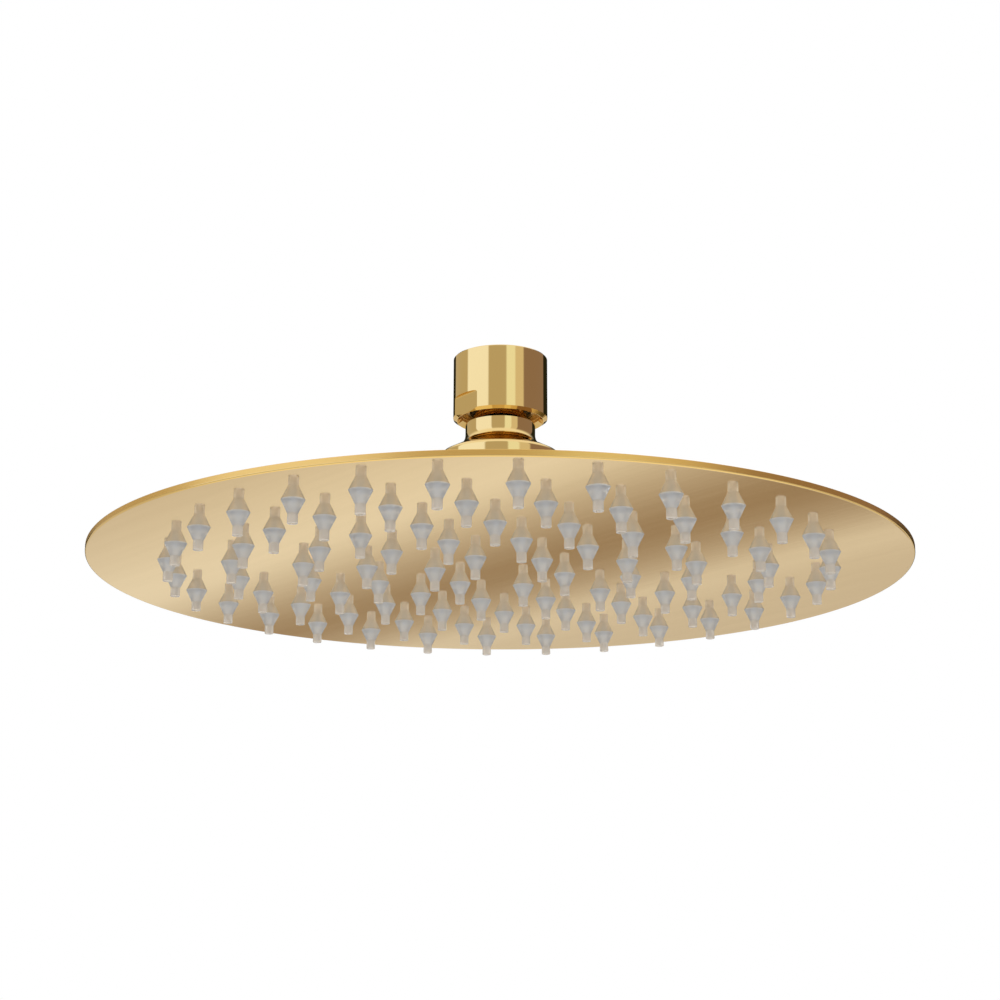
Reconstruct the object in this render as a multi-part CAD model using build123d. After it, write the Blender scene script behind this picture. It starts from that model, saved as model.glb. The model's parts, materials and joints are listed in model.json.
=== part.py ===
"""Round overhead shower head: a thin disc of soft nozzles that hangs from a ball-jointed inlet nut.

Millimetres. The origin is the middle of the inlet's mouth, on the nut's top face, +Z points up out of
that mouth, and the head hangs below it. Lines of nozzles lie along X, and the nut's flats face +Y and -Y.
"""
from build123d import *
from math import cos, radians, sin, tan
import os

# Inlet nut: a half-inch pipe thread, with the ball joint's parts stacked below it
thread_diameter = 20.955
nut_wall = 1.32
thread_depth = 6.2
thread_relief = 0.3
lip_thickness = 0.8
recess_depth = 2.13
recess_round = 0.3
flare_width = 0.7
flare_height = 1.3
chamfer_width = 0.9
chamfer_angle = 35.0
nut_edge = 0.25
nut_land = 0.1
flat_depth = 0.87
flat_height = 5.05
flat_round = 0.5

# Inlet washer
washer_thickness = 1.6
washer_bore_room = 0.2
washer_side_room = 0.2

# Ball joint: the ball turns between a seat ring above its middle and a slip ring below it
ball_diameter = 13.6
ball_top_height = 3.0
ball_clearance = 0.08
seat_height = 2.4
seat_shoulder = 0.45
seat_fit = 0.05
seal_section = 1.6
seal_latitude = 9.0
seal_clearance = 0.05
slip_height = 3.2
slip_wall = 2.32
slip_clearance = 0.05
lip_bearing = 1.5

# Ball stud: hollow, screwed into the neck of the boss
collar_diameter = 13.2
collar_height = 2.3
stud_bore = 5.0
stud_thread_diameter = 10.0
stud_thread_length = 8.0
stud_pilot_diameter = 8.4
stud_pilot_length = 3.0
stud_fit = 0.05
stud_seal_section = 1.0
stud_groove_room = 0.15

# Flow regulator and filter screen in the top of the ball
pocket_diameter = 9.2
insert_fit = 0.05
regulator_height = 2.6
regulator_channel_depth = 1.6
regulator_ring_diameter = 5.4
regulator_ring_section = 1.4
channel_room = 0.2
port_count = 8
port_diameter = 0.9
screen_thickness = 0.4
screen_recess = 0.4
mesh_hole = 0.5
mesh_pitch = 0.8

# Boss: neck, hollow shoulder cone and round wall
swivel_gap = 0.87
neck_diameter = 17.44
neck_edge = 0.25
neck_height = 2.86
neck_fillet = 3.6
cone_angle = 27.0
boss_diameter = 30.0
shoulder_round = 1.2
boss_wall_height = 21.98
boss_wall = 6.0
spigot_wall = 2.0
spigot_fit = 0.05

# Disc: a flat face sheet with a raised edge, and a domed back cover that drops inside that edge
head_diameter = 200.0
face_sheet = 0.8
face_edge_round = 0.38
rim_width = 1.0
rim_top_edge = 0.12
cover_sheet = 0.75
cover_fit = 0.05
flange_width = 3.5
step_width = 4.5
step_rise = 1.8
dome_rise = 4.2
pad_margin = 3.0
pad_round = 25.0
step_round = 2.0

# Stays that tie the two sheets together against the water's pressure
stay_diameter = 4.0
stay_count = 12

# Nozzles: every ring has one more nozzle in each sixth of the circle than the ring inside it
ring_radii = (16.1, 32.7, 48.2, 65.3, 80.4)
nozzles_in_first_ring = 6
nozzle_base_diameter = 5.33
nozzle_tip_diameter = 2.35
nozzle_cone_height = 3.05
nozzle_tip_length = 2.25
nozzle_tip_round = 0.15
nozzle_bore = 1.3
nozzle_funnel_diameter = 2.4
nozzle_funnel_depth = 0.9
nozzle_neck_diameter = 4.2
nozzle_fit = 0.05
nozzle_flange_diameter = 6.4
nozzle_flange_thickness = 0.6

# Radii worked out from the driving sizes
thread_radius = thread_diameter / 2
relief_radius = thread_radius + thread_relief
nut_radius = thread_radius + nut_wall
nut_foot_radius = nut_radius - chamfer_width
mouth_radius = nut_foot_radius - nut_land
recess_radius = mouth_radius - flare_width
flat_distance = nut_radius - flat_depth
ball_radius = ball_diameter / 2
socket_radius = ball_radius + ball_clearance
slip_radius = socket_radius + slip_wall - slip_clearance
slip_bore_radius = socket_radius + slip_wall
seat_bore_radius = slip_bore_radius + seat_shoulder
lip_radius = slip_bore_radius - lip_bearing
neck_radius = neck_diameter / 2
boss_radius = boss_diameter / 2
cavity_radius = boss_radius - boss_wall
head_radius = head_diameter / 2
cover_radius = head_radius - rim_width - cover_fit

# Heights, counted down from the inlet's mouth at zero
washer_top = -thread_depth
washer_bottom = washer_top - washer_thickness
ball_level = washer_bottom - seat_height
lip_top = ball_level - slip_height
lip_bottom = lip_top - lip_thickness
nut_bottom = lip_bottom - recess_depth
chamfer_top = nut_bottom + chamfer_width * tan(radians(chamfer_angle))
neck_top = nut_bottom - swivel_gap
neck_bottom = neck_top - neck_height
fillet_turn = radians(90 - cone_angle)
cone_top = neck_bottom - neck_fillet * sin(fillet_turn)
cone_top_radius = neck_radius + neck_fillet * (1 - cos(fillet_turn))
shoulder_level = cone_top - (boss_radius - cone_top_radius) * tan(radians(cone_angle))
boss_bottom = shoulder_level - boss_wall_height
rim_top = boss_bottom - dome_rise - step_rise
face_top = rim_top - cover_sheet
face_level = face_top - face_sheet
ball_top = ball_level + ball_top_height
pocket_bottom = ball_top - screen_recess - screen_thickness - regulator_height
stud_thread_end = neck_top - stud_thread_length
stud_end = stud_thread_end - stud_pilot_length


def corner_arc(before, corner, after, radius):
    """The tangent points and the middle point of the arc that rounds a corner."""
    to_before = (Vector(*before) - Vector(*corner)).normalized()
    to_after = (Vector(*after) - Vector(*corner)).normalized()
    half_angle = radians(to_before.get_angle(to_after)) / 2
    reach = radius / tan(half_angle)
    inward = (to_before + to_after).normalized()
    start = Vector(*corner) + to_before * reach
    end = Vector(*corner) + to_after * reach
    middle = Vector(*corner) + inward * (radius / sin(half_angle) - radius)
    return start, middle, end


def turned(*corners):
    """A solid of revolution about Z. A corner is (radius, height), or (radius, height, rounding)."""
    places = [corner[:2] for corner in corners]
    edges = []
    pen = None
    first = None
    for index, corner in enumerate(corners):
        rounding = corner[2] if len(corner) > 2 else 0
        arrive = leave = Vector(*corner[:2])
        arc = None
        if rounding:
            following = places[(index + 1) % len(places)]
            arrive, middle, leave = corner_arc(places[index - 1], places[index], following, rounding)
            arc = ThreePointArc(arrive, middle, leave)
        if pen is None:
            first = arrive
        else:
            edges.append(Line(pen, arrive))
        if arc:
            edges.append(arc)
        pen = leave
    edges.append(Line(pen, first))
    return revolve(Plane.XZ * make_face(edges), Axis.Z)


def o_ring(ring_radius, section, height):
    """A round-section ring about Z, at a height."""
    return Pos(0, 0, height) * Torus(ring_radius, section / 2)


def ball_at(radius):
    """A sphere about the ball joint's centre."""
    return Pos(0, 0, ball_level) * Sphere(radius)


def around(shape, radius, count, start=0):
    """Copies of a shape, evenly spaced on a circle about Z."""
    return [place * shape for place in PolarLocations(radius, count, start_angle=start)]


def swivel_nut():
    """The nut: threaded mouth, washer relief, bores for the joint's rings, a lip and a chamfered open foot."""
    body = turned(
        (thread_radius, washer_top),
        (thread_radius, 0),
        (nut_radius - nut_edge, 0),
        (nut_radius, -nut_edge),
        (nut_radius, chamfer_top),
        (nut_foot_radius, nut_bottom),
        (mouth_radius, nut_bottom),
        (recess_radius, nut_bottom + flare_height),
        (recess_radius, lip_bottom, recess_round),
        (lip_radius, lip_bottom),
        (lip_radius, lip_top),
        (slip_bore_radius, lip_top),
        (slip_bore_radius, ball_level),
        (seat_bore_radius, ball_level),
        (seat_bore_radius, washer_bottom),
        (relief_radius, washer_bottom),
        (relief_radius, washer_top),
    )
    return body - [flat_cutter(), Rot(0, 0, 180) * flat_cutter()]


def flat_cutter():
    """What the spanner flat on the -Y side takes away, rounded where the flat runs out into its top ledge."""
    middle = -flat_distance - flat_depth
    block = Pos(0, middle, nut_bottom + flat_height / 2) * Box(2 * nut_radius, 2 * flat_depth, flat_height)
    top_edges = block.edges().filter_by(Axis.X).group_by(Axis.Z)[-1]
    return fillet(top_edges.sort_by(Axis.Y)[-1], flat_round)


def inlet_washer():
    """The flat rubber washer that the supply pipe's end presses on, held behind the thread."""
    inner = ball_radius + washer_bore_room
    outer = relief_radius - washer_side_room
    return turned((inner, washer_bottom), (outer, washer_bottom), (outer, washer_top), (inner, washer_top))


def seal_place():
    """The radius and height of the ball seal's section centre, on the ball's upper half."""
    reach = ball_radius + seal_clearance + seal_section / 2
    latitude = radians(seal_latitude)
    return reach * cos(latitude), ball_level + reach * sin(latitude)


def seat_ring():
    """The plastic ring above the ball's middle, grooved for the ball seal."""
    outer = seat_bore_radius - seat_fit
    blank = turned((0, ball_level), (outer, ball_level), (outer, washer_bottom), (0, washer_bottom))
    seal_radius, seal_height = seal_place()
    groove = o_ring(seal_radius, seal_section + 2 * seal_clearance, seal_height)
    return blank - ball_at(socket_radius) - groove


def ball_seal():
    """The rubber ring that wipes the ball."""
    seal_radius, seal_height = seal_place()
    return o_ring(seal_radius, seal_section, seal_height)


def slip_ring():
    """The plastic cup that carries the ball's lower half, and turns on the nut's lip."""
    top = ball_level - slip_clearance
    bottom = lip_top + slip_clearance
    blank = turned((0, bottom), (slip_radius, bottom), (slip_radius, top), (0, top))
    return blank - ball_at(socket_radius)


def ball_stud():
    """The hollow ball with its collar, screw thread and sealed pilot."""
    thread_radius_here = stud_thread_diameter / 2 - stud_fit
    pilot_radius = stud_pilot_diameter / 2 - stud_fit
    stem = turned(
        (0, neck_top + collar_height),
        (collar_diameter / 2, neck_top + collar_height),
        (collar_diameter / 2, neck_top),
        (thread_radius_here, neck_top),
        (thread_radius_here, stud_thread_end),
        (pilot_radius, stud_thread_end),
        (pilot_radius, stud_end),
        (0, stud_end),
    )
    above_ball = Pos(0, 0, ball_top + ball_radius) * Cylinder(ball_diameter, 2 * ball_radius)
    stud = stem + (ball_at(ball_radius) - above_ball)
    bore_length = ball_top - stud_end
    stud -= Pos(0, 0, stud_end + bore_length / 2) * Cylinder(stud_bore / 2, bore_length)
    pocket_depth = ball_top - pocket_bottom
    stud -= Pos(0, 0, pocket_bottom + pocket_depth / 2) * Cylinder(pocket_diameter / 2, pocket_depth)
    groove_depth = stud_seal_section - stud_fit
    groove_height = stud_seal_section + 2 * stud_groove_room
    groove = Cylinder(pilot_radius, groove_height) - Cylinder(pilot_radius - groove_depth, groove_height)
    return stud - Pos(0, 0, stud_seal_level()) * groove


def stud_seal_level():
    """The height of the stud seal, in the middle of the stud's pilot."""
    return stud_end + stud_pilot_length / 2


def stud_seal():
    """The rubber ring between the stud's pilot and the boss."""
    return o_ring((stud_pilot_diameter - stud_seal_section) / 2, stud_seal_section, stud_seal_level())


def insert_radius():
    """The radius of what is pressed into the pocket in the ball."""
    return pocket_diameter / 2 - insert_fit


def regulator_body():
    """The flow regulator's body: a channel for its rubber ring, with ports through the channel's floor."""
    top = pocket_bottom + regulator_height
    floor = top - regulator_channel_depth
    channel_middle = regulator_ring_diameter / 2
    channel_half = regulator_ring_section / 2 + channel_room
    body = turned(
        (0, pocket_bottom),
        (insert_radius(), pocket_bottom),
        (insert_radius(), top),
        (channel_middle + channel_half, top),
        (channel_middle + channel_half, floor),
        (channel_middle - channel_half, floor),
        (channel_middle - channel_half, top),
        (0, top),
    )
    floor_thickness = regulator_height - regulator_channel_depth
    port = Pos(0, 0, pocket_bottom + floor_thickness / 2) * Cylinder(port_diameter / 2, floor_thickness)
    return body - around(port, channel_middle, port_count)


def regulator_ring():
    """The rubber ring that narrows the regulator's ports as the pressure rises."""
    floor = pocket_bottom + regulator_height - regulator_channel_depth
    return o_ring(regulator_ring_diameter / 2, regulator_ring_section, floor + regulator_ring_section / 2)


def filter_screen():
    """The pierced steel disc that keeps grit out of the regulator."""
    middle = pocket_bottom + regulator_height + screen_thickness / 2
    disc = Cylinder(insert_radius(), screen_thickness)
    hole = Cylinder(mesh_hole / 2, screen_thickness)
    reach = insert_radius() - mesh_pitch
    rings = int(reach / mesh_pitch)
    holes = [hole]
    for ring in range(1, rings + 1):
        holes += around(hole, ring * mesh_pitch, 6 * ring)
    return Pos(0, 0, middle) * (disc - holes)


def boss():
    """The turned boss: neck for the stud, sloping shoulder, round wall and a hollow inside."""
    spigot_radius = cavity_radius + spigot_wall
    spigot_bottom = boss_bottom - cover_sheet
    stud_radius = stud_thread_diameter / 2
    pilot_radius = stud_pilot_diameter / 2
    return turned(
        (stud_radius, neck_top),
        (neck_radius - neck_edge, neck_top),
        (neck_radius, neck_top - neck_edge),
        (neck_radius, neck_corner_level(), neck_fillet),
        (boss_radius, shoulder_level, shoulder_round),
        (boss_radius, boss_bottom),
        (spigot_radius, boss_bottom),
        (spigot_radius, spigot_bottom),
        (cavity_radius, spigot_bottom),
        (cavity_radius, stud_end),
        (pilot_radius, stud_end),
        (pilot_radius, stud_thread_end),
        (stud_radius, stud_thread_end),
    )


def neck_corner_level():
    """Where the neck's side would meet the shoulder cone if no fillet rounded the corner."""
    return cone_top + (cone_top_radius - neck_radius) * tan(radians(cone_angle))


def cover_line(drop, reverse=False):
    """The back cover's section from its central hole to its rim, lowered by a drop."""
    step_outer = cover_radius - flange_width
    line = [
        (cavity_radius + spigot_wall + spigot_fit, boss_bottom - drop),
        (boss_radius + pad_margin, boss_bottom - drop, pad_round),
        (step_outer - step_width, rim_top + step_rise - drop, step_round),
        (step_outer, rim_top - drop, step_round),
        (cover_radius, rim_top - drop),
    ]
    return line[::-1] if reverse else line


def back_cover():
    """The pressed sheet behind the face: flat flange, step, shallow cone and a pad for the boss."""
    return turned(*cover_line(0), *cover_line(cover_sheet, reverse=True))


def face_plate():
    """The flat face sheet with its raised edge and a hole for each nozzle."""
    plate = turned(
        (0, face_level),
        (head_radius, face_level, face_edge_round),
        (head_radius, rim_top, rim_top_edge),
        (head_radius - rim_width, rim_top),
        (head_radius - rim_width, face_top),
        (0, face_top),
    )
    middle = (face_level + face_top) / 2
    hole = Pos(0, 0, middle) * Cylinder(nozzle_neck_diameter / 2 + nozzle_fit, face_sheet)
    holes = []
    for ring, radius in enumerate(ring_radii, start=1):
        holes += around(hole, radius, ring * nozzles_in_first_ring)
    return plate - holes


def stays():
    """Posts between the two sheets, on a circle between the third and the fourth ring of nozzles."""
    circle = (ring_radii[2] + ring_radii[3]) / 2
    half_step = 180 / stay_count
    cover_underside = cover_line(cover_sheet, reverse=True)[1:]
    water_space = turned((0, face_top), *cover_underside, (0, boss_bottom - cover_sheet))
    height = boss_bottom - face_top
    post = Pos(0, 0, face_top + height / 2) * Cylinder(stay_diameter / 2, height)
    return Compound(children=[copy & water_space for copy in around(post, circle, stay_count, half_step)])


def nozzle():
    """One soft nozzle: flange behind the sheet, neck through it, then cone and spout in front of it."""
    flange_radius = nozzle_flange_diameter / 2
    neck_radius_here = nozzle_neck_diameter / 2
    base_radius = nozzle_base_diameter / 2
    tip_radius = nozzle_tip_diameter / 2
    bore_radius = nozzle_bore / 2
    flange_top = face_top + nozzle_flange_thickness
    spout_top = face_level - nozzle_cone_height
    spout_end = spout_top - nozzle_tip_length
    return turned(
        (nozzle_funnel_diameter / 2, flange_top),
        (flange_radius, flange_top),
        (flange_radius, face_top),
        (neck_radius_here, face_top),
        (neck_radius_here, face_level),
        (base_radius, face_level),
        (tip_radius, spout_top),
        (tip_radius, spout_end, nozzle_tip_round),
        (bore_radius, spout_end),
        (bore_radius, flange_top - nozzle_funnel_depth),
    )


def nozzle_ring(ring):
    """All the nozzles of one ring, counted from the middle of the face."""
    return Compound(children=around(nozzle(), ring_radii[ring - 1], ring * nozzles_in_first_ring))


parts = {
    "swivel_nut": swivel_nut(),
    "inlet_washer": inlet_washer(),
    "seat_ring": seat_ring(),
    "ball_seal": ball_seal(),
    "slip_ring": slip_ring(),
    "ball_stud": ball_stud(),
    "stud_seal": stud_seal(),
    "regulator_body": regulator_body(),
    "regulator_ring": regulator_ring(),
    "filter_screen": filter_screen(),
    "boss": boss(),
    "back_cover": back_cover(),
    "face_plate": face_plate(),
    "stays": stays(),
}
for ring in range(1, len(ring_radii) + 1):
    parts[f"nozzle_ring_{ring}"] = nozzle_ring(ring)

os.makedirs("parts", exist_ok=True)
for name, shape in parts.items():
    export_step(shape, f"parts/{name}.step")
print(f"face level {face_level:.2f}, nut bottom {nut_bottom:.2f}, ball centre {ball_level:.2f}")
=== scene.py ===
"""Looks of the round overhead shower head: polished gold, a brushed face and soft clear nozzles."""

import json
from math import cos, pi, radians, sin, tan

import bpy
from mathutils import Matrix, Quaternion, Vector


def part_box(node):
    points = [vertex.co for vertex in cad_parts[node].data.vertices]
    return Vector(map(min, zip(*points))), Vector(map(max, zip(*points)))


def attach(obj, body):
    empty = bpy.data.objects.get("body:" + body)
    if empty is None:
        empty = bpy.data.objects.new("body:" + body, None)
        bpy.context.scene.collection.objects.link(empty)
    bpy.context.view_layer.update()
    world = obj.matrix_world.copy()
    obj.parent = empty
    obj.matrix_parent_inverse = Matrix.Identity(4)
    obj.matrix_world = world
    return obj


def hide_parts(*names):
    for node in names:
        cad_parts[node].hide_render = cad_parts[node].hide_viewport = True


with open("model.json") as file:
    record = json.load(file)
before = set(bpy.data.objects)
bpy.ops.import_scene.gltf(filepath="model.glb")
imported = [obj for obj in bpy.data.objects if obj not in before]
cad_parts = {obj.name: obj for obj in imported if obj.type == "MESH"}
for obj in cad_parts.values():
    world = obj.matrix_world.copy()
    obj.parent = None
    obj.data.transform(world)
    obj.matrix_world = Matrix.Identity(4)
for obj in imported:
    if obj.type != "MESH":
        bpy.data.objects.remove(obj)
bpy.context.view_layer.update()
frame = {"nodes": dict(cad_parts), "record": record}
bpy.ops.object.select_all(action="DESELECT")
nodes = frame["nodes"]
millimetre = 0.001


def reach(node):
    """A turned node's radius, foot and top, in millimetres."""
    low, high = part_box(node)
    return high[0] / millimetre, low[2] / millimetre, high[2] / millimetre


# Sizes in millimetres that the frame gives
nut_radius, nut_bottom, nut_top = reach("swivel_nut")
washer_bottom, washer_top = reach("inlet_washer")[1:]
seat_radius, ball_level = reach("seat_ring")[:2]
slip_radius, slip_bottom = reach("slip_ring")[:2]
stud_end = reach("ball_stud")[1]
boss_radius, boss_foot, neck_top = reach("boss")
head_radius, face_level, rim_top = reach("face_plate")
nozzle_tip = reach("nozzle_ring_1")[1]

# Nut, in millimetres
thread_radius = 10.4775
thread_relief = 0.3
thread_pitch = 1.814
thread_depth = 1.16
thread_root_width = 1.5
thread_crest_width = 0.25
thread_turns = 2.25
thread_start = -5.3
nut_edge = 0.25
nut_land = 0.1
chamfer_width = 0.9
chamfer_angle = radians(35.0)
flare_width = 0.7
flare_height = 1.3
recess_round = 0.3
lip_thickness = 0.8
lip_radius = 7.7
ring_fit = 0.05
flat_depth = 0.87
flat_height = 5.05
flat_round = 0.5

# Boss, in millimetres
neck_radius = 8.72
neck_edge = 0.25
neck_height = 2.86
neck_fillet = 3.6
cone_angle = radians(27.0)
shoulder_round = 1.2
cavity_radius = 9.0
spigot_radius = 11.0
spigot_height = 0.75
stud_radius = 5.0
pilot_radius = 4.2
pilot_length = 3.0

# Face sheet and its holes, in millimetres
face_sheet = 0.8
face_edge_round = 0.38
rim_width = 1.0
rim_top_edge = 0.12
nozzle_rings = 5
nozzles_in_first_ring = 6
nozzle_flange_radius = 3.2
nozzle_hole_radius = 2.15

# Fineness of the turned pieces
nut_steps = 192
face_steps = 360
hole_steps = 32
arc_turn = radians(6.0)
sharp_turn = radians(14.0)
merge_distance = 0.0005

# Camera, where the photograph was taken from
camera_place = Vector((0.3752, -0.3003, -0.1675))
camera_target = Vector((0.0, 0.0, -0.0367))
camera_roll = 0.00188
camera_shift = -0.0002
camera_lens = 72.34
camera_sensor = 36.0
camera_near = 0.005

# Studio set, in metres: a ring of tone cards that the polished gold mirrors
set_reach = 30.0
set_steps = 128
cards_foot = -0.5
cards_fade = 16.0
cards_top = 30.0
plain_card = (0.55, 0.50, 0.40)
pale_card = (1.05, 1.15, 1.40)
bright_card = (0.95, 1.05, 1.05)
middle_card = (0.75, 0.70, 0.60)
brown_card = (0.30, 0.22, 0.20)
dark_card = (0.02, 0.02, 0.01)

# Where each card ends and the next one starts, by compass angle from +X in degrees
cards_start = -180.0
cards = (
    (-126.0, plain_card),
    (-68.0, pale_card),
    (-24.0, plain_card),
    (-2.0, bright_card),
    (20.0, middle_card),
    (92.0, brown_card),
    (179.0, dark_card),
    (180.0, plain_card),
)
card_softness = 1.6

# Ground of the set, in metres, with a pale patch straight below the object
ground_level = -3.055
ground_reach = 300.0
ground_brown = (0.30, 0.20, 0.10)
ground_warm = (0.95, 0.90, 0.75)
patch_light = (1.05, 1.0, 0.86)
patch_full = 2.25
patch_end = 4.55

# How warm the ground is at a distance along +Y: brown between the two pale strips that the face mirrors
ground_strips = (
    (5.2, 0.6),
    (6.6, 1.0),
    (7.2, 0.45),
    (8.0, 0.0),
    (8.8, 0.35),
    (9.25, 1.0),
    (9.5, 0.6),
    (10.8, 0.55),
)

# Floor and lamp, in metres and watts
floor_level = -0.60
floor_reach = 30.0
lamp_height = 1.4
lamp_width = 1.6
lamp_power = 14.0

# Tones of the gold and of the nozzles
face_deep = (0.78, 0.60, 0.35)
face_pale = (0.88, 0.69, 0.43)
rim_gold = (0.86, 0.55, 0.17)
edge_gold = (0.86, 0.63, 0.27)
turned_deep = (0.84, 0.61, 0.255)
turned_pale = (0.88, 0.65, 0.285)
# Painted shade: the darker, more orange gold inside the nut's recess
recess_shade_gold = (0.72, 0.47, 0.17)
sheet_deep = (0.83, 0.605, 0.26)
sheet_pale = (0.88, 0.66, 0.31)
nozzle_milk = (0.88, 0.92, 0.98)
nozzle_pale = (0.93, 0.96, 1.0)
# Painted light: a warm tint towards the nozzles' tips, standing in for the warm light seen through the
# clear tube
nozzle_tip_painted_warm = (0.95, 0.92, 0.88)

# Where one tone of a piece passes into another, in millimetres
recess_blend = 0.04
edge_start = 0.02
edge_blend = 0.01
side_overlap = 0.01
side_blend = 0.05


class Wire:
    """A shader value that can be written into sums."""

    def __init__(self, graph, socket):
        self.graph = graph
        self.socket = socket

    def math(self, operation, first, second=None):
        sockets = {0: first}
        if second is not None:
            sockets[1] = second
        return self.graph.node("ShaderNodeMath", {"operation": operation}, sockets)

    def __add__(self, other):
        return self.math("ADD", self, other)

    def __radd__(self, other):
        return self.math("ADD", other, self)

    def __sub__(self, other):
        return self.math("SUBTRACT", self, other)

    def __rsub__(self, other):
        return self.math("SUBTRACT", other, self)

    def __mul__(self, other):
        return self.math("MULTIPLY", self, other)

    def __rmul__(self, other):
        return self.math("MULTIPLY", other, self)

    def __truediv__(self, other):
        return self.math("DIVIDE", self, other)

    def __pow__(self, other):
        return self.math("POWER", self, other)


class Graph:
    """The node tree of one finish, of the set or of the world."""

    def __init__(self, tree):
        self.tree = tree
        tree.nodes.clear()

    def node(self, kind, settings=None, sockets=None, output=0):
        made = self.tree.nodes.new(kind)
        for name, value in (settings or {}).items():
            if name == "stops":
                self.set_stops(made.color_ramp, value)
            else:
                setattr(made, name, value)
        for name, value in (sockets or {}).items():
            socket = made.inputs[name]
            if isinstance(value, Wire):
                self.tree.links.new(value.socket, socket)
            else:
                socket.default_value = value
        if not made.outputs:
            return None
        return Wire(self, made.outputs[output])

    @staticmethod
    def set_stops(ramp, stops):
        while len(ramp.elements) > 1:
            ramp.elements.remove(ramp.elements[-1])
        for index, (place, tone) in enumerate(stops):
            element = ramp.elements[0] if index == 0 else ramp.elements.new(place)
            element.position = place
            element.color = tone

    def place(self):
        return self.node("ShaderNodeTexCoord", output="Object")

    def parts(self, vector):
        made = self.node("ShaderNodeSeparateXYZ", None, {0: vector})
        outputs = made.socket.node.outputs
        return [Wire(self, outputs[axis]) for axis in "XYZ"]

    def radius(self, vector):
        """How far a place lies from the Z axis."""
        across, along = self.parts(vector)[:2]
        return (across * across + along * along) ** 0.5

    def ramp(self, value, stops):
        return self.node("ShaderNodeValToRGB", {"stops": stops}, {"Fac": value})

    def step(self, value, start, end):
        settings = {"interpolation_type": "SMOOTHSTEP"}
        return self.node("ShaderNodeMapRange", settings, {0: value, 1: start, 2: end})

    def mix(self, share, first, second):
        settings = {"data_type": "RGBA"}
        return self.node("ShaderNodeMix", settings, {0: share, 6: first, 7: second}, output=2)

    def noise(self, vector, scale, detail=2.0, roughness=0.5):
        sockets = {"Vector": vector, "Scale": scale, "Detail": detail, "Roughness": roughness}
        return self.node("ShaderNodeTexNoise", None, sockets)

    def stretched(self, vector, scales):
        return self.node("ShaderNodeMapping", None, {"Vector": vector, "Scale": scales})

    def bump(self, height, strength, distance):
        sockets = {"Height": height, "Strength": strength, "Distance": distance}
        return self.node("ShaderNodeBump", None, sockets)

    def surface(self, shader, output="ShaderNodeOutputMaterial"):
        self.node(output, None, {"Surface": shader})


def colour(rgb):
    return (*rgb, 1.0)


def grey(level):
    return (level, level, level, 1.0)


def finish(name):
    """A new material and the graph that makes it."""
    material = bpy.data.materials.new(name)
    material.use_nodes = True
    return material, Graph(material.node_tree)


def principled(graph, sockets):
    graph.surface(graph.node("ShaderNodeBsdfPrincipled", None, sockets))


def above(graph, value, level, blend):
    """Nothing below a level in millimetres and one above it, with a soft change."""
    return graph.step(value, (level - blend) * millimetre, (level + blend) * millimetre)


def polished_gold():
    """Turned brass, polished and gold plated, duller in the nut's recess, where no wheel reaches. The
    recess also gets painted shade: a darker, more orange gold.
    """
    material, graph = finish("polished_gold")
    place = graph.place()
    marks = graph.noise(graph.stretched(place, (300.0, 300.0, 1400.0)), 1.0, 3.0)
    cloud = graph.noise(place, 60.0, 2.0)
    height = graph.parts(place)[2]
    plain = graph.mix(cloud, colour(turned_deep), colour(turned_pale))
    # Mask of the nut's recess: a rougher finish there, and painted shade in its colour
    over_mouth = above(graph, height, nut_bottom + flare_height, recess_blend)
    over_lip = above(graph, height, slip_bottom, recess_blend)
    outside = above(graph, graph.radius(place), nut_radius - chamfer_width, recess_blend)
    dull_shaded_recess = (over_mouth - over_lip) * (1.0 - outside)
    principled(graph, {
        "Base Color": graph.mix(dull_shaded_recess, plain, colour(recess_shade_gold)),
        "Metallic": 1.0,
        "Roughness": 0.03 + 0.025 * marks + 0.20 * dull_shaded_recess,
        "Normal": graph.bump(marks, 0.006, 0.00004),
    })
    return material


def gold_sheet():
    """Pressed back sheet: polished gold with faint rings from spinning."""
    material, graph = finish("gold_sheet")
    place = graph.place()
    outward = graph.node("ShaderNodeCombineXYZ", None, {0: graph.radius(place) * 900.0})
    rings = graph.noise(outward, 1.0, 4.0, 0.65)
    cloud = graph.noise(place, 22.0, 3.0)
    tone = graph.mix(cloud, colour(sheet_deep), colour(sheet_pale))
    principled(graph, {
        "Base Color": tone,
        "Metallic": 1.0,
        "Roughness": 0.24 + 0.12 * rings,
        "Normal": graph.bump(rings, 0.06, 0.00006),
    })
    return material


def brushed_face():
    """Face sheet, brushed along X, with a polished edge."""
    material, graph = finish("brushed_gold_face")
    place = graph.place()
    height = graph.parts(place)[2]
    hairs = graph.noise(graph.stretched(place, (28.0, 1500.0, 1500.0)), 1.0, 3.0, 0.6)
    strokes = graph.noise(graph.stretched(place, (10.0, 260.0, 260.0)), 1.0, 3.0, 0.55)
    grain = hairs * 0.4 + strokes * 0.6
    flat = graph.mix(grain, colour(face_deep), colour(face_pale))
    edge = above(graph, height, face_level + edge_start, edge_blend)
    side = above(graph, height, face_level + face_edge_round - side_overlap, side_blend)
    edge_tone = graph.mix(side, colour(edge_gold), colour(rim_gold))
    principled(graph, {
        "Base Color": graph.mix(edge, flat, edge_tone),
        "Metallic": 1.0,
        "Roughness": (0.05 + 0.025 * hairs) * (1.0 - edge) + 0.09 * edge + 0.25 * side,
        "Normal": graph.bump(hairs * (1.0 - edge), 0.05, 0.00003),
    })
    return material


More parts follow.
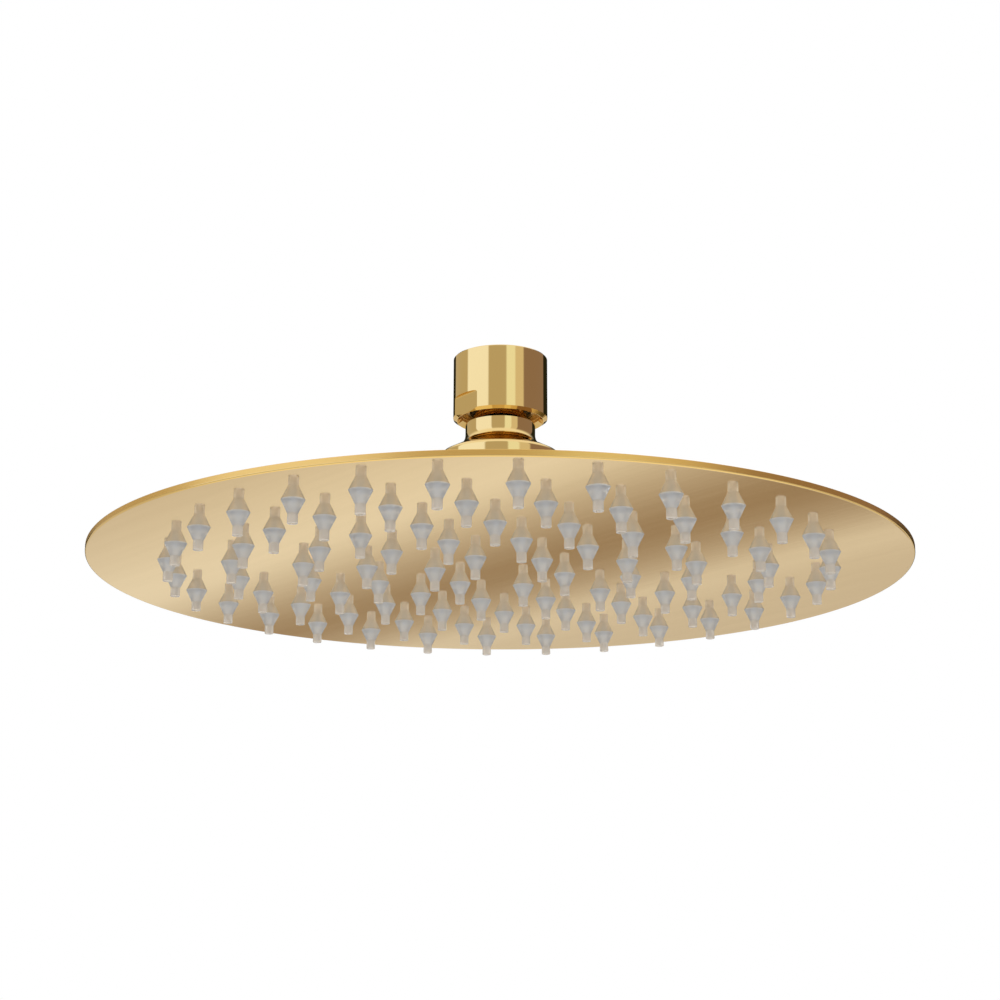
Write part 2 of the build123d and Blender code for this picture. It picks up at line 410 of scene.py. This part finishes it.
def clear_silicone():
    """Soft nozzles: clear rubber with a milky cast, and a painted warm tint that grows towards the tip,
    standing in for the warm light seen through the clear tube.
    """
    material, graph = finish("clear_silicone")
    place = graph.place()
    cloud = graph.noise(place, 400.0, 2.0)
    height = graph.parts(place)[2]
    # Share of the milky tone against the painted warm tint: none at the tip, full at the face
    upward = graph.step(height, nozzle_tip * millimetre, face_level * millimetre)
    milky = graph.mix(cloud, colour(nozzle_milk), colour(nozzle_pale))
    principled(graph, {
        "Base Color": graph.mix(upward, colour(nozzle_tip_painted_warm), milky),
        "Roughness": 0.12 + 0.05 * cloud,
        "IOR": 1.41,
        "Transmission Weight": 0.62,
    })
    return material


def white_plastic():
    """Moulded rings of the joint and the flow regulator."""
    material, graph = finish("white_plastic")
    grain = graph.noise(graph.place(), 1200.0, 3.0)
    principled(graph, {
        "Base Color": graph.mix(grain, colour((0.80, 0.80, 0.78)), colour((0.88, 0.88, 0.86))),
        "Roughness": 0.34 + 0.12 * grain,
        "Normal": graph.bump(grain, 0.08, 0.00004),
    })
    return material


def black_plastic():
    """Slip ring that carries the ball."""
    material, graph = finish("black_plastic")
    grain = graph.noise(graph.place(), 1200.0, 3.0)
    principled(graph, {
        "Base Color": graph.mix(grain, colour((0.030, 0.030, 0.031)), colour((0.055, 0.055, 0.056))),
        "Roughness": 0.34 + 0.12 * grain,
        "Normal": graph.bump(grain, 0.08, 0.00004),
    })
    return material


def black_rubber():
    """Washer and seals."""
    material, graph = finish("black_rubber")
    grain = graph.noise(graph.place(), 1600.0, 4.0)
    principled(graph, {
        "Base Color": graph.mix(grain, colour((0.022, 0.022, 0.022)), colour((0.050, 0.050, 0.048))),
        "Roughness": 0.60 + 0.22 * grain,
        "Normal": graph.bump(grain, 0.15, 0.00006),
    })
    return material


def plain_steel():
    """Filter screen and the stays inside."""
    material, graph = finish("plain_steel")
    grain = graph.noise(graph.stretched(graph.place(), (900.0, 900.0, 200.0)), 1.0, 3.0)
    principled(graph, {
        "Base Color": graph.mix(grain, colour((0.54, 0.545, 0.55)), colour((0.66, 0.66, 0.655))),
        "Metallic": 1.0,
        "Roughness": 0.24 + 0.14 * grain,
        "Normal": graph.bump(grain, 0.05, 0.00004),
    })
    return material


finishes = {
    "polished_gold": polished_gold(),
    "gold_sheet": gold_sheet(),
    "brushed_gold_sheet": brushed_face(),
    "clear_silicone": clear_silicone(),
    "white_plastic": white_plastic(),
    "black_plastic": black_plastic(),
    "black_rubber": black_rubber(),
    "plain_steel": plain_steel(),
}


def wear(piece, slot):
    piece.data.materials.clear()
    piece.data.materials.append(finishes[slot])


for row in frame["record"]["subparts"]:
    wear(nodes[row["node"]], row["material_slot"])


def rounded(corners):
    """A section's points, with short steps round each corner that has a rounding."""
    points = []
    for index, corner in enumerate(corners):
        here = Vector(corner[:2])
        if len(corner) == 2:
            points.append(here)
            continue
        rounding = corner[2]
        back = (Vector(corners[index - 1][:2]) - here).normalized()
        ahead = (Vector(corners[(index + 1) % len(corners)][:2]) - here).normalized()
        half = back.angle(ahead) / 2.0
        middle = here + (back + ahead).normalized() * rounding / sin(half)
        start = here + back * rounding / tan(half) - middle
        end = here + ahead * rounding / tan(half) - middle
        turn = start.angle_signed(end)
        steps = max(2, round(abs(turn) / arc_turn))
        for step in range(steps + 1):
            points.append(middle + Matrix.Rotation(-turn * step / steps, 2) @ start)
    return points


def drawn(name, points):
    """A closed chain of edges through points in millimetres, drawn one by one and left in edit mode."""
    places = [Vector(point) * millimetre for point in points]
    bpy.ops.mesh.primitive_plane_add()
    piece = bpy.context.object
    piece.name = name
    bpy.ops.object.mode_set(mode="EDIT")
    bpy.ops.mesh.merge(type="CENTER")
    bpy.ops.transform.translate(value=places[0])
    for before, after in zip(places, places[1:] + places[:1]):
        bpy.ops.mesh.extrude_vertices_move(TRANSFORM_OT_translate={"value": after - before})
    bpy.ops.mesh.select_all(action="SELECT")
    bpy.ops.mesh.remove_doubles(threshold=merge_distance * millimetre)
    return piece


def closed():
    """Joins the doubled points of the piece in edit mode, turns its faces outward and leaves edit mode."""
    bpy.ops.mesh.select_all(action="SELECT")
    bpy.ops.mesh.remove_doubles(threshold=merge_distance * millimetre)
    bpy.ops.mesh.normals_make_consistent(inside=False)
    bpy.ops.object.mode_set(mode="OBJECT")


def turned(name, corners, steps):
    """A solid of revolution about Z. A corner is (radius, height), or (radius, height, rounding)."""
    piece = drawn(name, [(across, 0.0, height) for across, height in rounded(corners)])
    bpy.ops.mesh.spin(steps=steps, angle=2.0 * pi, center=(0.0, 0.0, 0.0), axis=(0.0, 0.0, 1.0))
    closed()
    return piece


def apply_modifier(piece, kind, settings):
    bpy.context.view_layer.objects.active = piece
    bpy.ops.object.modifier_add(type=kind)
    modifier = piece.modifiers[-1]
    for name, value in settings.items():
        setattr(modifier, name, value)
    bpy.ops.object.modifier_apply(modifier=modifier.name)


def cut_away(piece, cutter):
    apply_modifier(piece, "BOOLEAN", {"operation": "DIFFERENCE", "object": cutter, "solver": "EXACT"})


def discard(piece):
    bpy.ops.object.select_all(action="DESELECT")
    piece.select_set(True)
    bpy.ops.object.delete()


def dress(piece, slot, body, *replaced):
    """Crisp shading, a finish, the body that carries the piece, and the solids that it stands for."""
    bpy.ops.object.select_all(action="DESELECT")
    piece.select_set(True)
    bpy.context.view_layer.objects.active = piece
    bpy.ops.object.shade_smooth_by_angle(angle=sharp_turn)
    apply_modifier(piece, "WEIGHTED_NORMAL", {"keep_sharp": True, "weight": 100})
    wear(piece, slot)
    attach(piece, body)
    if replaced:
        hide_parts(*replaced)


def turned_nut():
    """The nut, finely turned, with its two spanner flats."""
    foot_radius = nut_radius - chamfer_width
    mouth_radius = foot_radius - nut_land
    recess_radius = mouth_radius - flare_width
    relief_radius = thread_radius + thread_relief
    slip_bore = slip_radius + ring_fit
    seat_bore = seat_radius + ring_fit
    lip_top = slip_bottom - ring_fit
    piece = turned("turned_nut", (
        (thread_radius, washer_top),
        (thread_radius, nut_top),
        (nut_radius - nut_edge, nut_top),
        (nut_radius, nut_top - nut_edge),
        (nut_radius, nut_bottom + chamfer_width * tan(chamfer_angle)),
        (foot_radius, nut_bottom),
        (mouth_radius, nut_bottom),
        (recess_radius, nut_bottom + flare_height),
        (recess_radius, lip_top - lip_thickness, recess_round),
        (lip_radius, lip_top - lip_thickness),
        (lip_radius, lip_top),
        (slip_bore, lip_top),
        (slip_bore, ball_level),
        (seat_bore, ball_level),
        (seat_bore, washer_bottom),
        (relief_radius, washer_bottom),
        (relief_radius, washer_top),
    ), nut_steps)
    cutter = flat_cutter()
    for turn in (0.0, pi):
        cutter.rotation_euler.z = turn
        cut_away(piece, cutter)
    discard(cutter)
    dress(piece, "polished_gold", "connector", "swivel_nut")


def flat_cutter():
    """What a spanner flat takes away, rounded where the flat runs out into its top ledge."""
    flat = nut_radius - flat_depth
    outside = 2.0 * nut_radius
    below = nut_bottom - flat_height
    ledge = nut_bottom + flat_height
    section = rounded(((-flat, below), (-flat, ledge, flat_round), (-outside, ledge), (-outside, below)))
    cutter = drawn("flat_cutter", [(-outside, along, height) for along, height in section])
    bpy.ops.mesh.edge_face_add()
    move = {"value": (2.0 * outside * millimetre, 0.0, 0.0)}
    bpy.ops.mesh.extrude_region_move(TRANSFORM_OT_translate=move)
    closed()
    return cutter


def turned_boss():
    """The boss, finely turned: neck, sloping shoulder, round wall and the hollow inside."""
    fillet_turn = pi / 2.0 - cone_angle
    fillet_width = neck_fillet * (1.0 - cos(fillet_turn))
    cone_top = neck_top - neck_height - neck_fillet * sin(fillet_turn)
    neck_corner = cone_top + fillet_width * tan(cone_angle)
    shoulder = cone_top - (boss_radius - neck_radius - fillet_width) * tan(cone_angle)
    boss_bottom = boss_foot + spigot_height
    piece = turned("turned_boss", (
        (stud_radius, neck_top),
        (neck_radius - neck_edge, neck_top),
        (neck_radius, neck_top - neck_edge),
        (neck_radius, neck_corner, neck_fillet),
        (boss_radius, shoulder, shoulder_round),
        (boss_radius, boss_bottom),
        (spigot_radius, boss_bottom),
        (spigot_radius, boss_foot),
        (cavity_radius, boss_foot),
        (cavity_radius, stud_end),
        (pilot_radius, stud_end),
        (pilot_radius, stud_end + pilot_length),
        (stud_radius, stud_end + pilot_length),
    ), nut_steps)
    dress(piece, "polished_gold", "head", "boss")


def turned_face():
    """The face sheet with its finely rounded edge and a hole for each nozzle."""
    face_top = face_level + face_sheet
    piece = turned("turned_face", (
        (0.0, face_level),
        (head_radius, face_level, face_edge_round),
        (head_radius, rim_top, rim_top_edge),
        (head_radius - rim_width, rim_top),
        (head_radius - rim_width, face_top),
        (0.0, face_top),
    ), face_steps)
    drill = hole_drill()
    cut_away(piece, drill)
    discard(drill)
    dress(piece, "brushed_gold_sheet", "head", "face_plate")


def hole_drill():
    """One cylinder for each nozzle's hole, joined into one object."""
    pins = []
    middle = face_level + face_sheet / 2.0
    for ring in range(1, nozzle_rings + 1):
        ring_radius = reach(f"nozzle_ring_{ring}")[0] - nozzle_flange_radius
        count = ring * nozzles_in_first_ring
        for index in range(count):
            turn = 2.0 * pi * index / count
            place = Vector((ring_radius * cos(turn), ring_radius * sin(turn), middle))
            bpy.ops.mesh.primitive_cylinder_add(
                vertices=hole_steps,
                radius=nozzle_hole_radius * millimetre,
                depth=2.0 * face_sheet * millimetre,
                location=place * millimetre,
            )
            pins.append(bpy.context.object)
    bpy.ops.object.select_all(action="DESELECT")
    for pin in pins:
        pin.select_set(True)
    bpy.ops.object.join()
    return bpy.context.object


def inlet_thread():
    """The screw thread in the nut's mouth: a ridge wound up the bore."""
    root = thread_radius + ring_fit
    crest = thread_radius - thread_depth
    half_root = thread_root_width / 2.0
    half_crest = thread_crest_width / 2.0
    piece = drawn("inlet_thread", (
        (root, 0.0, thread_start - half_root),
        (root, 0.0, thread_start + half_root),
        (crest, 0.0, thread_start + half_crest),
        (crest, 0.0, thread_start - half_crest),
    ))
    bpy.ops.object.mode_set(mode="OBJECT")
    apply_modifier(piece, "SCREW", {
        "angle": 2.0 * pi * thread_turns,
        "screw_offset": thread_pitch * thread_turns * millimetre,
        "steps": int(nut_steps * thread_turns / 2.0),
        "render_steps": int(nut_steps * thread_turns / 2.0),
    })
    bpy.ops.object.mode_set(mode="EDIT")
    bpy.ops.mesh.select_all(action="SELECT")
    bpy.ops.mesh.fill_holes(sides=4)
    closed()
    dress(piece, "polished_gold", "connector")


turned_nut()
turned_boss()
turned_face()
inlet_thread()


def white_world():
    """White all round, at the plain level that lights the object."""
    world = bpy.data.worlds.new("white")
    bpy.context.scene.world = world
    world.use_nodes = True
    graph = Graph(world.node_tree)
    background = graph.node("ShaderNodeBackground", None, {"Color": grey(1.0)})
    graph.surface(background, "ShaderNodeOutputWorld")


def set_card(card, material, graph, tone):
    """Makes a piece of the set one that shows in reflections, and that lights and shades nothing else."""
    principled(graph, {
        "Base Color": grey(0.0),
        "Specular IOR Level": 0.0,
        "Emission Color": tone,
        "Emission Strength": 1.0,
    })
    card.name = material.name
    card.data.materials.append(material)
    card.visible_camera = False
    card.visible_diffuse = False
    card.visible_transmission = False
    card.visible_shadow = False


def tone_cards():
    """Cards of several tones in a ring round the object, which fade into the white overhead."""
    middle = (cards_top + cards_foot) / 2.0
    bpy.ops.mesh.primitive_cylinder_add(
        vertices=set_steps,
        radius=set_reach,
        depth=cards_top - cards_foot,
        end_fill_type="NOTHING",
        location=(0.0, 0.0, middle),
    )
    card = bpy.context.object
    material, graph = finish("tone_cards")
    east, north, up = graph.parts(graph.place())
    turn = north.math("ARCTAN2", north, east) / (2.0 * pi) + 0.5
    stops = []
    start = cards_start
    for end, tone in cards:
        inset = min(card_softness, (end - start) / 4.0)
        stops.append(((start + inset) / 360.0 + 0.5, colour(tone)))
        stops.append(((end - inset) / 360.0 + 0.5, colour(tone)))
        start = end
    fade = graph.step(up, cards_fade - middle, cards_top - middle)
    set_card(card, material, graph, graph.mix(fade, graph.ramp(turn, stops), grey(1.0)))


def striped_ground():
    """The set's ground: a pale patch straight below, and the strips that the face mirrors."""
    bpy.ops.mesh.primitive_plane_add(size=2.0 * ground_reach, location=(0.0, 0.0, ground_level))
    card = bpy.context.object
    material, graph = finish("striped_ground")
    place = graph.place()
    first = ground_strips[0][0]
    width = ground_strips[-1][0] - first
    share = (graph.parts(place)[1] - first) / width
    strips = graph.ramp(share, [((along - first) / width, grey(warmth)) for along, warmth in ground_strips])
    striped = graph.mix(strips, colour(ground_brown), colour(ground_warm))
    beyond = graph.step(graph.radius(place), patch_full, patch_end)
    set_card(card, material, graph, graph.mix(beyond, colour(patch_light), striped))


def pale_floor():
    """Wide pale floor that keeps the soft shadow."""
    bpy.ops.mesh.primitive_plane_add(size=2.0 * floor_reach, location=(0.0, 0.0, floor_level))
    floor = bpy.context.object
    floor.name = "floor"
    floor.visible_glossy = False
    material, graph = finish("pale_floor")
    cloud = graph.noise(graph.place(), 3.0, 2.0)
    principled(graph, {
        "Base Color": graph.mix(cloud, grey(0.86), grey(0.88)),
        "Roughness": 0.6,
        "Specular IOR Level": 0.2,
    })
    floor.data.materials.append(material)


def soft_lamp():
    """A wide lamp overhead, for the soft shadow."""
    bpy.ops.object.light_add(type="AREA", location=(0.0, 0.0, lamp_height))
    lamp = bpy.context.object
    lamp.name = "soft_lamp"
    lamp.data.size = lamp_width
    lamp.data.energy = lamp_power
    lamp.visible_glossy = False
    lamp.visible_camera = False


def photo_camera():
    """The camera at the photograph's viewing angle."""
    bpy.ops.object.camera_add(location=camera_place)
    camera = bpy.context.object
    aim = (camera_target - camera_place).to_track_quat("-Z", "Y")
    camera.rotation_euler = (aim @ Quaternion((0.0, 0.0, 1.0), camera_roll)).to_euler()
    camera.data.lens = camera_lens
    camera.data.shift_x = camera_shift
    camera.data.sensor_width = camera_sensor
    camera.data.clip_start = camera_near
    bpy.context.scene.camera = camera


white_world()
tone_cards()
striped_ground()
pale_floor()
soft_lamp()
photo_camera()
bpy.context.scene.view_settings.view_transform = "Standard"
